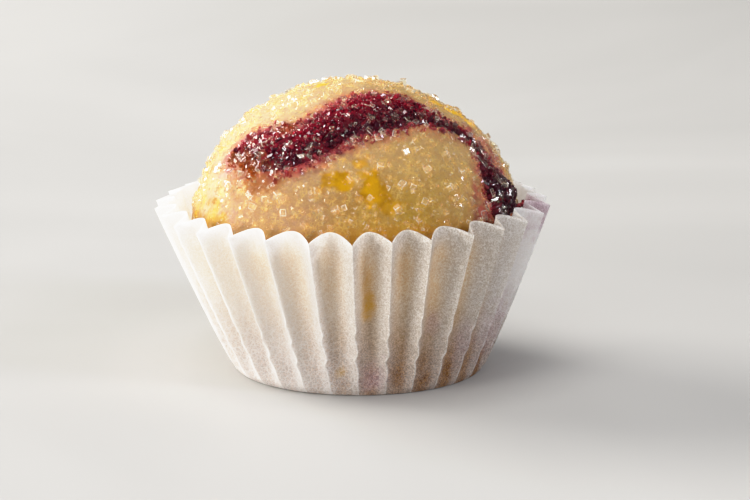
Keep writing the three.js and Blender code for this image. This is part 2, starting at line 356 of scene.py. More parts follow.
def round_place(radius, angle, height):
    """Points at angles from the front towards +X."""
    return np.stack(np.broadcast_arrays(radius * np.sin(angle), -radius * np.cos(angle), height), -1)


def unit(vectors):
    return vectors / np.linalg.norm(vectors, axis=-1, keepdims=True)


# Meshes

def add_object(name, data):
    made = bpy.data.objects.new(name, data)
    bpy.context.scene.collection.objects.link(made)
    return made


def make_piece(name, points, faces, material, smooth=True, normals=None, **attributes):
    """A mesh object from points in millimetres; each attribute holds a number a point."""
    mesh = bpy.data.meshes.new(name)
    mesh.from_pydata((np.asarray(points) * MM).tolist(), [], faces)
    mesh.materials.append(material)
    mesh.polygons.foreach_set("use_smooth", [smooth] * len(mesh.polygons))
    for key, values in attributes.items():
        layer = mesh.attributes.new(key, "FLOAT", "POINT")
        layer.data.foreach_set("value", np.asarray(values, np.float32))
    if normals is not None:
        mesh.normals_split_custom_set_from_vertices(normals.tolist())
    return add_object(name, mesh)


def ring_faces(rows, columns):
    """Faces of a closed surface: rows of points in rings, between two end points."""
    ids = np.arange(rows * columns).reshape(rows, columns) + 1
    after = np.roll(ids, -1, axis=1)
    quads = np.stack([ids[:-1], after[:-1], after[1:], ids[1:]], -1).reshape(-1, 4)
    last = rows * columns + 1
    first_fan = np.stack([after[0], ids[0], np.zeros(columns, int)], -1)
    last_fan = np.stack([ids[-1], after[-1], np.full(columns, last)], -1)
    return first_fan.tolist() + quads.tolist() + last_fan.tolist()


def ring_points(first, rings, last):
    return np.vstack([first, rings.reshape(-1, 3), last])


# Paper case

def rise(rim_radius):
    return math.sqrt(WALL_LENGTH ** 2 - (rim_radius - BASE_RADIUS) ** 2)


VALLEY_RISE = rise(VALLEY_RADIUS)
CREASE_DROP = VALLEY_RISE - rise(CREASE_RADIUS)


def wall_radius(height):
    return lerp(BASE_RADIUS, VALLEY_RADIUS, height / VALLEY_RISE)


def case_shift(height):
    return BASE_SHIFT * (1 - np.minimum(height / VALLEY_RISE, 1))


def fold(away):
    """How far out the paper is folded: 1 on the crease, 0 in the middle of the valley."""
    most = math.hypot(1, VALLEY_ROUNDING) - VALLEY_ROUNDING
    return (np.hypot(1 - away, VALLEY_ROUNDING) - VALLEY_ROUNDING) / most


def sheet_profile():
    """Radius and height of the paper along a valley, from the floor's middle to the rim."""
    floor = np.linspace(FLOOR_START, BASE_RADIUS - BASE_CURVE, FLOOR_ROWS, endpoint=False)
    curve = np.linspace(0, 1, CURVE_ROWS, endpoint=False)
    wall = np.linspace(BASE_CURVE, VALLEY_RISE, WALL_ROWS)
    radius = np.concatenate([floor, BASE_RADIUS - BASE_CURVE * (1 - curve) ** 2, wall_radius(wall)])
    height = np.concatenate([0 * floor, BASE_CURVE * curve ** 2, wall])
    return radius[:, None], height[:, None]


def crinkles(random, height, share, pleat):
    """How far the creases waver aside in the lower part of the wall."""
    starts = [CRINKLE_PHASES * next(random) + CRINKLE_STEP * index for index in range(PLEATS)]
    lengths = [CRINKLE_LENGTH * (1 + stray(random, CRINKLE_LENGTHS)) for _ in range(PLEATS)]
    begins, strongest, ends = CRINKLE_HEIGHTS
    strength = smoothstep(share, begins, strongest) * (1 - smoothstep(share, strongest, ends))
    turn = 2 * math.pi * height / np.take(lengths, pleat) + np.take(starts, pleat)
    second, start = CRINKLE_OVERTONE
    return CRINKLE * strength * (np.sin(turn) + second * np.sin(2 * turn + start))


def soak_and_painted_light(share, angle, across):
    """How soaked the paper is, with painted shade and painted light in that share, and painted shade towards
    the right, each from 0 to 1; across runs from one crease to the next.
    """
    aside = np.sin(angle)
    up = smoothstep(share, 0.1, 0.7)
    # painted shade: a pleat's first flank faces right, away from the main light, and is painted more tan
    # than its lit second flank; the lit flank grows more tan towards the right
    shaded_flank = lerp(lerp(0.75, 0.4, up), 1, smoothstep(across, 0, 0.35))
    lit_flank = lerp(lerp(0.35, 0.5, smoothstep(aside, 0.1, 0.5)), 0.08, up)
    soaked = np.where(across > 0, lerp(shaded_flank, lit_flank, smoothstep(across, 0.5, 0.9)), 0)
    dry_rim = 1 - smoothstep(share, 0.8, 0.98)
    # painted light: the soak is paler towards the left, where the main light falls
    lit_left = lerp(0.38, 1, smoothstep(aside, -0.7, 0.6))
    # painted light: the soak is paler on the far right panels higher up, where light comes through the paper
    lit_far_right = lerp(1, 0.2, smoothstep(aside, 0.6, 0.95) * up)
    # painted shade: grey over the paper towards the right, away from the main light, fading out on the far
    # right
    greasy = smoothstep(aside, -0.5, 0.3) * (1 - smoothstep(aside, 0.8, 0.97) * up)
    return soaked * dry_rim * lit_left * lit_far_right, greasy


def make_sheet():
    """The paper's outer face as rows of points, and how soaked it is there, with painted light and shade in
    that share, and its painted shade towards the right.
    """
    random = seeded(PLEAT_SEED)
    pitches = np.arange(PLEATS * COLUMNS_PER_PLEAT) / COLUMNS_PER_PLEAT
    pleat = np.round(pitches).astype(int) % PLEATS
    away = 2 * np.abs(pitches - np.round(pitches))
    radius, height = sheet_profile()
    share = np.maximum(0, (height - SOLID_PAPER) / (VALLEY_RISE - SOLID_PAPER))
    creases = [(stray(random, CREASE_SWING), stray(random, CREASE_SPREAD)) for _ in range(PLEATS)]
    swing, deeper = np.array(creases)[pleat].T
    folded = share ** FOLD_GROWTH * (1 + deeper) * fold(away)
    angle = 2 * math.pi * pitches / PLEATS + np.radians(swing) * share * (1 - away)
    angle = angle + crinkles(random, height, share, pleat) * (1 - away) ** CRINKLE_FADE / radius
    out = radius + (CREASE_RADIUS - VALLEY_RADIUS) * folded
    points = round_place(out, angle, height - CREASE_DROP * folded + RIM_TILT * share * np.sin(angle))
    points[..., 0] += case_shift(height)
    return points, *soak_and_painted_light(share, angle, pitches - np.floor(pitches))


def sheet_normals(points):
    along = np.gradient(points, axis=0)
    around = np.roll(points, -1, axis=1) - np.roll(points, 1, axis=1)
    return unit(np.cross(around, along))


def paper_stains(points, stains):
    blots = []
    for around, height, half_width, half_height, strength in stains:
        centre = round_place(wall_radius(height), math.radians(around), height)
        centre[0] += case_shift(height)
        blots.append((centre, (half_width, half_width, half_height), strength))
    return blotted(points, blots, STAIN_ROUGHNESS * uneven(points, STAIN_NOISE), STAIN_FADE)


def make_paper_case():
    outside, *shares = make_sheet()
    inside = outside - SHEET * sheet_normals(outside)
    rings = np.concatenate([outside, inside[::-1]])
    points = ring_points((BASE_SHIFT, 0, 0), rings, (BASE_SHIFT, 0, SHEET))
    # the first share is the soak with painted light and shade in it, the second is painted shade towards the
    # right
    soaked, greasy = (np.concatenate([[1], share.ravel(), share[::-1].ravel(), [1]]) for share in shares)
    piece = make_piece(
        "paper", points, ring_faces(*rings.shape[:2]), paper_material(),
        soaked=soaked,
        greasy=greasy,
        lemon=paper_stains(points, LEMON_STAINS),
        berry=paper_stains(points, BERRY_STAINS),
    )
    sharpen_creases(piece.data)
    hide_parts("paper_case")
    return piece


def sharpen_creases(mesh):
    """Keeps shading from running over the creases, which are the first column of each pleat."""
    ends = np.zeros(len(mesh.edges) * 2, int)
    mesh.edges.foreach_get("vertices", ends)
    columns = (ends.reshape(-1, 2) - 1) % (PLEATS * COLUMNS_PER_PLEAT)
    along = (columns[:, 0] == columns[:, 1]) & (columns[:, 0] % COLUMNS_PER_PLEAT == 0)
    mesh.attributes.new("sharp_edge", "BOOLEAN", "EDGE").data.foreach_set("value", along)


# Dough

DOME_HEIGHT = DOME_TOP - DOME_WAIST
DOME_AXES = np.array([DOME_RADIUS, DOME_RADIUS, DOME_HEIGHT])
DOME_CENTRE = np.array([0, 0, DOME_WAIST])


def dough_shift(height):
    return lerp(case_shift(height), DOME_SHIFT, smoothstep(height, SHIFT_START, SHIFT_END))


def dough_radius(height):
    """The dome over its waist, and the case's slope where that is narrower."""
    up = np.maximum(0, height - DOME_WAIST) / DOME_HEIGHT
    dome = DOME_RADIUS * np.sqrt(np.maximum(0, 1 - up * up))
    aside = dough_shift(height) - case_shift(height)
    return np.minimum(dome, wall_radius(height) - SHEET - CONTACT_GAP - np.maximum(0, aside))


def dome_point(around, down):
    """Points of the even dome, from angles in radians."""
    return round_place(np.sin(down), around, np.cos(down)) * DOME_AXES + DOME_CENTRE


def dome_normal(points):
    return unit((points - DOME_CENTRE) / DOME_AXES ** 2)


def onto_dome(points):
    return unit((points - DOME_CENTRE) / DOME_AXES) * DOME_AXES + DOME_CENTRE


def settle(points):
    """Puts points of the even dough where the leaning, slightly lumpy dough has them."""
    wave = sum(np.sin(points @ np.array(turns) + phase) for *turns, phase in LUMP_WAVES) / len(LUMP_WAVES)
    lump = LUMP_HEIGHT * wave * smoothstep(points[..., 2], LUMPS_START, LUMPS_FULL)
    settled = points + dome_normal(points) * lump[..., None]
    settled[..., 0] += dough_shift(points[..., 2])
    return settled


def spots(points, places, fade=JUICE_FADE):
    """How strongly each point is coloured by spots at places of the dome."""
    blots = []
    for around, down, radius, strength in places:
        centre = settle(dome_point(math.radians(around), math.radians(down)))
        blots.append((centre, radius, strength))
    return blotted(points, blots, SPOT_ROUGHNESS * uneven(points, SPOT_NOISE), fade)


def make_dough():
    low = SHEET + CONTACT_GAP
    dome_start = DOME_WAIST + DOME_HEIGHT * math.cos(math.radians(DOME_START))
    wall = np.linspace(low, dome_start, DOUGH_WALL_ROWS, endpoint=False)
    down = np.radians(np.linspace(DOME_START, 0, DOUGH_DOME_ROWS, endpoint=False))
    heights = np.concatenate([wall, DOME_WAIST + DOME_HEIGHT * np.cos(down)])[:, None]
    around = np.arange(DOUGH_COLUMNS) * 2 * math.pi / DOUGH_COLUMNS
    even = round_place(dough_radius(heights), around, heights)
    points = ring_points((0, 0, low), even, (0, 0, DOME_TOP))
    normals = dome_normal(points)
    settled = settle(points)
    edge = ribbon_edge(settled)
    relief = uneven(settled, DOUGH_RELIEF) * smoothstep(points[:, 2], *RELIEF_HEIGHTS)
    groove = GROOVE_DEPTH * smoothstep(-edge, 0, GROOVE_SLOPE)
    placed = settled + normals * (relief - groove)[:, None]
    along_ribbon = 1 - smoothstep(edge + uneven(settled, JUICE_NOISE), 0, JUICE_REACH)
    along_ribbon = along_ribbon * lerp(1, JUICE_RIGHT, smoothstep(settled[:, 0], *JUICE_WEAKENS))
    piece = make_piece(
        "lemon_dough", placed, ring_faces(len(heights), DOUGH_COLUMNS), dough_material(),
        stain=np.maximum(along_ribbon, spots(settled, JUICE)),
        brown=spots(settled, BROWN),
        zest=spots(settled, ZEST, ZEST_FADE),
    )
    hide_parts("dough")
    return piece


# Jam ribbon

def curve_point(stations, along):
    """A smooth curve through stations, evenly shared out between them; along runs from 0 to 1."""
    count = len(stations)
    first = min(int(along * (count - 1)), count - 2)
    part = along * (count - 1) - first
    ahead = np.vstack([2 * stations[0] - stations[1], stations, 2 * stations[-1] - stations[-2]])
    a, b, c, d = ahead[first:first + 4]
    before, here, after = (np.sqrt(np.linalg.norm(step)) for step in (b - a, c - b, d - c))
    leave = ((b - a) / before - (c - a) / (before + here) + (c - b) / here) * here
    arrive = ((c - b) / here - (d - b) / (here + after) + (d - c) / after) * here
    second = 3 * (c - b) - 2 * leave - arrive
    third = 2 * (b - c) + leave + arrive
    return b + part * (leave + part * (second + part * third))


STATIONS = np.array(RIBBON, float)
RIBBON_LINE = dome_point(np.radians(STATIONS[:, 0]), np.radians(STATIONS[:, 1]))


def ribbon_body(along):
    """Half the ribbon's width and how far its middle stands proud."""
    return curve_point(STATIONS[:, 2:], along)


def ribbon_point(along, across, half):
    """A point of the even dome on the ribbon; across runs from -1 to 1 over half the width."""
    step = 1e-4
    ahead = curve_point(RIBBON_LINE, min(along + step, 1))
    behind = curve_point(RIBBON_LINE, max(along - step, 0))
    middle = onto_dome(curve_point(RIBBON_LINE, along))
    side = unit(np.cross(dome_normal(middle), ahead - behind))
    return onto_dome(middle + side * np.asarray(across)[..., None] * half)


def ribbon_edge(points, probes=RIBBON_PROBES):
    """Distance from settled points to the ribbon's edge, below 0 on the ribbon."""
    nearest = np.full(len(points), np.inf)
    for along in np.linspace(0, 1, probes + 1):
        middle = settle(ribbon_point(along, 0, 0))
        distance = np.linalg.norm(points - middle, axis=1) - ribbon_body(along)[0]
        nearest = np.minimum(nearest, distance)
    return nearest


def crown(across):
    return 1 - across * across


def jam_top(proud, across):
    """How far the jam's top is over the even dome, but for its lumps."""
    return -JAM_SINK + (proud + JAM_CROWN) * np.sqrt(crown(across))


def thin_and_lit(proud, across):
    """How thin and lit the jam looks: 1 on the ribbon's upper edge, which is thin and painted as lit, 0 on
    its lower edge, which is painted dark as shade, and on its thick end.
    """
    return (0.5 + 0.5 * across) * (1 - np.clip(2 * (proud - 0.2), 0, 1))


def edge_noise(along, start):
    """How ragged one of the ribbon's edges is at a place along it."""
    coarse, fine = RAGGED_WAVES
    return noise.noise((along * coarse, start, 0)) + 0.6 * noise.noise((along * fine, start + 5, 0))


def make_jam():
    across = np.linspace(-1, 1, RIBBON_ACROSS + 1)
    rings = []
    thin = []
    for along in np.linspace(0, 1, RIBBON_STEPS + 1):
        half, proud = ribbon_body(along)
        ragged = np.where(across < 0, edge_noise(along, 0), edge_noise(along, 9))
        even = ribbon_point(along, across * (1 + RAGGED * ragged), half)
        top = jam_top(proud, across) + uneven(even, JAM_LUMPS) * np.sqrt(crown(across))
        bottom = -JAM_EDGE - (JAM_DEPTH - JAM_EDGE) * crown(across)
        over, under = (settle(even + dome_normal(even) * lift[:, None]) for lift in (top, bottom))
        rings.append(np.concatenate([over, under[::-1]]))
        # painted light and shade: the ribbon's upper edge is marked to show red as lit, its lower edge stays
        # dark
        thin.append(np.concatenate([thin_and_lit(proud, across), np.zeros(len(across))]))
    rings = np.array(rings)
    points = ring_points(rings[0].mean(0), rings, rings[-1].mean(0))
    piece = make_piece(
        "jam_ribbon", points, ring_faces(*rings.shape[:2]), jam_material(),
        thin=np.concatenate([[0], np.concatenate(thin), [0]]),
        brown=spots(points, BROWN),
    )
    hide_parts("jam")
    return piece


# Sugar

def facing(points, way):
    """The corners of a block that reach furthest in a direction, in turn round it."""
    reach = points @ way
    corners = np.flatnonzero(np.isclose(reach, reach.max()))
    from_middle = points[corners] - points[corners].mean(0)
    first = unit(from_middle[0])
    turn = np.arctan2(from_middle @ np.cross(unit(way), first), from_middle @ first)
    return corners[np.argsort(turn)].tolist()


def block_template():
    """A chamfered block: its corners' signs and insets, its faces, and 1 for each worn face."""
    signs = np.repeat(list(product((-1, 1), repeat=3)), 3, axis=0)
    inset = 1 - np.tile(np.eye(3), (8, 1))
    points = signs * (1 - CHAMFER * inset)
    ways = [np.array(way) for way in product((-1, 0, 1), repeat=3) if any(way)]
    worn = [int(np.count_nonzero(way) > 1) for way in ways]
    return signs, inset, [facing(points, way) for way in ways], worn


def joined_blocks(coat, corners, faces):
    """Points and faces of one mesh, from each block's corners and the faces that all have."""
    centres, turns, _ = coat
    points = np.einsum("nij,nkj->nki", turns, corners) + centres[:, None, :]
    count = corners.shape[1]
    starts = range(0, len(centres) * count, count)
    joined = [[start + corner for corner in face] for start in starts for face in faces]
    return points.reshape(-1, 3), joined


def make_blocks(name, coat, material, edge_material, **shares):
    """One mesh of blocks with worn edges, from centres, turns and sizes; shares hold a number a block."""
    centres, turns, sizes = coat
    signs, inset, faces, worn = block_template()
    cut = CHAMFER * sizes.min(1)
    corners = signs * (sizes[:, None, :] / 2 - cut[:, None, None] * inset)
    normals = np.einsum("nij,kj->nki", turns, signs * (1 - inset)).reshape(-1, 3)
    shares = {key: np.repeat(values, len(signs)) for key, values in shares.items()}
    piece = make_piece(name, *joined_blocks(coat, corners, faces), material, normals=normals, **shares)
    piece.data.materials.append(edge_material)
    piece.data.polygons.foreach_set("material_index", worn * len(centres))
    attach(piece, "root")


def make_fine_sugar(draw):
    """The finest grains between the crystals, as plain blocks."""
    points, normals = on_dome(draw, FINE_GRAINS, FINE_ON_ZEST)
    coat = grains(draw, points, normals, FINE_SIZES, draw.uniform(*FINE_LIFTS, len(points)))
    signs = np.array(list(product((-1, 1), repeat=3)))
    faces = [facing(signs, way) for way in (*np.eye(3), *-np.eye(3))]
    corners = signs * coat[2][:, None, :] / 2
    points, joined = joined_blocks(coat, corners, faces)
    piece = make_piece("fine_sugar", points, joined, fine_sugar_material(), smooth=False)
    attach(piece, "root")


def solid_crystal(random, point, normal):
    """Centre, turn and size of one of the solids' crystals."""
    size = [lerp(CRYSTAL_SMALL, CRYSTAL_LARGE, next(random)) for _ in range(3)]
    turn = Vector((0, 0, 1)).rotation_difference(Vector(normal)).to_matrix()
    for axis, most in (("X", CRYSTAL_TILT), ("Y", CRYSTAL_TILT), ("Z", math.pi)):
        turn = turn @ Matrix.Rotation(stray(random, most), 3, axis)
    return point + normal * CRYSTAL_RISE * size[2], np.array(turn), size


def solid_crystals():
    """The crystals of the two solids, on the dough and on the jam."""
    random = seeded(SUGAR_SEED)
    lowest = math.cos(math.radians(CRYSTALS_DOWN))
    on_dough = []
    for index in range(CRYSTALS_ON_DOUGH):
        share = (index + 0.5 + stray(random, CRYSTAL_STRAY)) / CRYSTALS_ON_DOUGH
        even = dome_point(index * GOLDEN_ANGLE, math.acos(lerp(1, lowest, share)))
        crystal = solid_crystal(random, settle(even), dome_normal(even))
        if ribbon_edge(settle(even)[None], SOLID_STEPS)[0] >= CRYSTAL_CLEAR:
            on_dough.append(crystal)
    on_jam = []
    for index in range(CRYSTALS_ON_JAM):
        share = (index + 0.5 + stray(random, CRYSTAL_STRAY)) / CRYSTALS_ON_JAM
        along = lerp(RIBBON_BARE, 1 - RIBBON_BARE, share)
        half, proud = ribbon_body(along)
        across = stray(random, max(0, 1 - CRYSTAL_INSIDE / half))
        even = ribbon_point(along, across, half)
        normal = dome_normal(even)
        top = settle(even + normal * proud * crown(across))
        on_jam.append(solid_crystal(random, top, normal))
    return on_dough, on_jam


def random_turns(draw, count):
    """Rotation matrices spread evenly over all directions."""
    fours = draw.normal(size=(count, 4)).tolist()
    return np.array([Quaternion(four).normalized().to_matrix() for four in fours])


def turned_to(draw, count, direction, spread_out):
    """Rotation matrices with their third axis close to a direction."""
    axis = unit(direction + draw.normal(0, spread_out, (count, 3)))
    across = unit(np.cross(axis, draw.normal(size=(count, 3))))
    return np.stack([across, np.cross(axis, across), axis], -1)


def with_glints(draw, coat, share):
    """The crystals, with a share of them turned so that the camera sees a lamp in them."""
    centres, turns, sizes = coat
    to_lamps = unit(np.array(GLINT_LAMPS) - DOME_CENTRE)
    in_sight = dome_normal(centres) @ to_lamps.T > LAMP_IN_SIGHT
    lamp = (draw.random(in_sight.shape) * in_sight).argmax(1)
    glinting = draw.random(len(turns)) < share
    for index, to_lamp in enumerate(to_lamps):
        chosen = glinting & (lamp == index)
        turns[chosen] = turned_to(draw, chosen.sum(), unit(TO_CAMERA + to_lamp), GLINT_STRAY)
    return centres, turns, sizes


def grains(draw, points, normals, span, lift, longer=1):
    """Centres, turns and sizes of crystals, with their middles lifted by shares of their size."""
    count = len(points)
    middle = lerp(*span, draw.random((count, 1)) ** SMALLER_OFTEN)
    sizes = middle * draw.uniform(*GRAIN_SIDES, (count, 3)) * (longer, longer ** -0.5, longer ** -0.5)
    return points + normals * lift[:, None] * middle, random_turns(draw, count), sizes


def mostly_sunk(draw, count):
    """Lifts of the grains on the dough: most are sunk into it and a few lie on it."""
    sunk = draw.uniform(*SUNK_LIFTS, count)
    loose = draw.uniform(*LOOSE_LIFTS, count)
    return np.where(draw.random(count) < LOOSE_SHARE, loose, sunk)


def with_large(fine, large):
    """The crystals with the large ones after them."""
    return tuple(np.concatenate([values, more]) for values, more in zip(fine, zip(*large)))


def on_dome(draw, count, on_zest):
    """Points spread over the dome beside the ribbon, fewer of them on zest, with normals."""
    down = np.arccos(draw.uniform(math.cos(math.radians(GRAINS_DOWN)), 1, count))
    even = dome_point(draw.uniform(-math.pi, math.pi, count), down)
    even = even[ribbon_edge(settle(even)) > GRAINS_CLEAR]
    bare = spots(settle(even), ZEST, ZEST_FADE) < STRONG_ZEST
    even = even[bare | (draw.random(len(even)) < on_zest)]
    return settle(even), dome_normal(even)


def ribbon_places(draw, count, power):
    """Shares along the ribbon, drawn by its length for a power of 0 and by its area for 1."""
    steps = np.linspace(0, 1, RIBBON_STEPS + 1)
    line = np.array([curve_point(RIBBON_LINE, along) for along in steps])
    halves = np.array([ribbon_body(along)[0] for along in steps])
    weights = np.linalg.norm(np.diff(line, axis=0), axis=1) * halves[1:] ** power
    reached = np.concatenate([[0], np.cumsum(weights)])
    return np.interp(draw.random(count), reached / reached[-1], steps)


def on_ribbon(draw, count):
    """Points spread over the jam's top, with normals, how thin and lit it looks there, which holds painted
    light and shade, and 1 near the edges.
    """
    rows = []
    for along in ribbon_places(draw, count, 1):
        half, proud = ribbon_body(along)
        across = draw.uniform(-SUGARED_ACROSS, SUGARED_ACROSS)
        even = ribbon_point(along, across, half)
        top = even + dome_normal(even) * max(0, jam_top(proud, across))
        rows.append((top, thin_and_lit(proud, across), smoothstep(abs(across), 0.75, 1)))
    tops, thin, rim = (np.array(column) for column in zip(*rows))
    return settle(tops), dome_normal(tops), thin, rim


def beside_ribbon(draw, count):
    """Points of the dome past the ribbon's edges, with normals and how pale the jam is there."""
    rows = []
    past = draw.random(count) ** 2
    for along, share in zip(ribbon_places(draw, count, 0), past):
        half = ribbon_body(along)[0]
        across = draw.choice((-1, 1)) * (1 + share * MARGIN / half)
        pale = lerp(lerp(0.05, 0.3, smoothstep(half, 0.7, 1.6)), 1, share)
        rows.append((ribbon_point(along, across, half), pale))
    even, pale = (np.array(column) for column in zip(*rows))
    return settle(even), dome_normal(even), pale


def along_thread(draw, count):
    """Points in the thread of jam that reaches the rim, with directions away from its middle."""
    line = np.array([curve_point(np.array(THREAD), along) for along in draw.random(count)])
    aside = unit(draw.normal(size=(count, 3)))
    return line + THREAD_RADIUS * aside, aside


def top_crystal():
    even = dome_point(*np.radians(TOP_CRYSTAL))
    normal = dome_normal(even)
    return settle(even) + TOP_CRYSTAL_RISE * normal, np.eye(3), TOP_CRYSTAL_SIZE


def make_sugar():
    draw = np.random.default_rng(GRAIN_SEED)
    large_on_dough, large_on_jam = solid_crystals()
    materials = sugar_material(), worn_edge_material()
    make_sugar_on_dough(draw, large_on_dough + [top_crystal()], materials)
    make_fine_sugar(draw)
    make_sugar_on_jam(draw, large_on_jam, materials)
    make_soaked_sugar(draw)


def make_sugar_on_dough(draw, large, materials):
    points, normals = on_dome(draw, GRAINS_ON_DOUGH, GRAINS_ON_ZEST)
    beside, beside_normals, _ = beside_ribbon(draw, MARGIN_CRYSTALS)
    lift = np.concatenate([mostly_sunk(draw, len(points)), draw.uniform(*MARGIN_LIFTS, MARGIN_CRYSTALS)])
    points = np.vstack([points, beside])
    normals = np.vstack([normals, beside_normals])
    centres, turns, sizes = grains(draw, points, normals, GRAIN_SIZES, lift)
    loose = lift > LOOSE_FROM
    turns[loose] = turned_to(draw, loose.sum(), normals[loose], LOOSE_TILT)
    coat = with_large(with_glints(draw, (centres, turns, sizes), DOUGH_GLINTS), large)
    loose = np.concatenate([loose, np.full(len(large), True)])
    frost = draw.random(len(loose))
    frost = np.where(loose, lerp(*LOOSE_FROST, frost), frost ** 3)
    make_blocks("sugar_on_dough", coat, *materials, frost=frost, milk=frost)


def make_sugar_on_jam(draw, large, materials):
    points, normals, *_ = on_ribbon(draw, GRAINS_ON_JAM)
    lift = draw.uniform(*ON_JAM_LIFTS, len(points))
    coat = grains(draw, points, normals, SOAKED_SIZES, lift, NEEDLE)
    middle = smoothstep(points[:, 0], *LEFT_END) * (1 - smoothstep(points[:, 0], *RIGHT_END))
    glints = lerp(RIBBON_END_GLINTS, RIBBON_MIDDLE_GLINTS, middle)
    coat = with_large(with_glints(draw, coat, glints), large)
    frost = draw.random(len(coat[0])) ** 1.5
    frost[len(points):] *= LARGE_FROST
    make_blocks("sugar_on_jam", coat, *materials, frost=frost, milk=np.zeros(len(frost)))


def make_soaked_sugar(draw):
    points, normals, thin, rim = on_ribbon(draw, SOAKED_GRAINS)
    more_points, more_normals, more_pale = beside_ribbon(draw, MARGIN_GRAINS)
    thread, aside = along_thread(draw, THREAD_GRAINS)
    points = np.vstack([points, more_points, thread])
    normals = np.vstack([normals, more_normals, aside])
    lift = draw.uniform(*SOAKED_LIFTS, len(points))
    coat = grains(draw, points, normals, SOAKED_SIZES, lift, NEEDLE)
    # painted light and shade: grains redder on the ribbon's lit upper edge and darker on its lower edge
    most_tint = np.concatenate([lerp(0.15, 1, thin), np.ones(MARGIN_GRAINS + THREAD_GRAINS)])
    tint = draw.uniform(0.35, 1, len(points)) * most_tint
    brown = spots(points, BROWN) * np.where(np.arange(len(points)) < SOAKED_GRAINS, 0.7, 1)
    pale = np.concatenate([0.7 * rim, more_pale, np.full(THREAD_GRAINS, 0.3)])
    pale = np.maximum(pale, 0.6 * brown)
    soaked = soaked_material()
    make_blocks("soaked_sugar", coat, soaked, soaked, tint=tint, pale=pale, brown=brown)


# Materials

def new_material(name):
    material = bpy.data.materials.new(name)
    material.use_nodes = True
    material.node_tree.nodes.clear()
    return material, material.node_tree


def node(tree, kind, inputs=None, **settings):
    """A shader node with its settings, and its inputs set to values or linked to sockets."""
    made = tree.nodes.new("ShaderNode" + kind)
    for key, value in settings.items():
        setattr(made, key, value)
    for key, value in (inputs or {}).items():
        if isinstance(value, bpy.types.NodeSocket):
            tree.links.new(value, made.inputs[key])
        else:
            made.inputs[key].default_value = value
    return made


def mix(share, first, second):
    """A colour between two; the share is a socket, whose node tree takes the mix."""
    return node(share.id_data, "Mix", {0: share, 6: first, 7: second}, data_type="RGBA").outputs[2]


def layered(colour, *coats):
    """A colour with coats over it, each a share and a colour."""
    for share, coat in coats:
        colour = mix(share, colour, coat)
    return colour


def times(first, second):
    return node(first.id_data, "Math", {0: first, 1: second}, operation="MULTIPLY").outputs[0]


def spread(value, low, high, to_low=0, to_high=1):
    """The value's part between low and high, as a number between to_low and to_high."""
    inputs = {"Value": value, "From Min": low, "From Max": high, "To Min": to_low, "To Max": to_high}
    return node(value.id_data, "MapRange", inputs, interpolation_type="SMOOTHSTEP").outputs["Result"]


def place_on(tree):
    return node(tree, "TexCoord").outputs["Object"]


def width_and_height(tree):
    """X and Z of the place on the surface, in metres."""
    x, _, z = node(tree, "SeparateXYZ", {0: place_on(tree)}).outputs
    return x, z


def blotches(tree, size, detail=3, distortion=0):
    """Noise with blotches of about the given size in millimetres."""
    inputs = {
        "Vector": place_on(tree),
        "Scale": 0.5 / (size * MM),
        "Detail": detail,
        "Distortion": distortion,
    }
    return node(tree, "TexNoise", inputs).outputs["Fac"]


def stored(tree, key):
    return node(tree, "Attribute", attribute_name=key).outputs["Fac"]


def bump(height, depth):
    """Relief of the given depth in millimetres."""
    inputs = {"Height": height, "Distance": depth * MM, "Strength": BUMP_STRENGTH}
    return node(height.id_data, "Bump", inputs).outputs["Normal"]


def finish_material(material, shader):
    node(material.node_tree, "OutputMaterial", {"Surface": shader.outputs[0]})
    return material


def cells(tree, size):
    """Cells of about the given size in millimetres: distance to the middle, and a number a cell."""
    made = node(tree, "TexVoronoi", {"Vector": place_on(tree), "Scale": 1 / (size * MM)})
    return made.outputs["Distance"], node(tree, "SeparateColor", {0: made.outputs["Color"]}).outputs[0]


def fine_lines(tree, size, bend):
    """Thin lines between cells of about the given size, bent by some millimetres."""
    place = place_on(tree)
    swirl = node(tree, "TexNoise", {"Vector": place, "Scale": 1 / (size * MM)}).outputs["Color"]
    turns = {0: swirl, 1: [bend * MM] * 3, 2: place}
    bent = node(tree, "VectorMath", turns, operation="MULTIPLY_ADD").outputs[0]
    inputs = {"Vector": bent, "Scale": 1 / (size * MM)}
    made = node(tree, "TexVoronoi", inputs, feature="DISTANCE_TO_EDGE")
    return spread(made.outputs["Distance"], 0.1, 0.02)


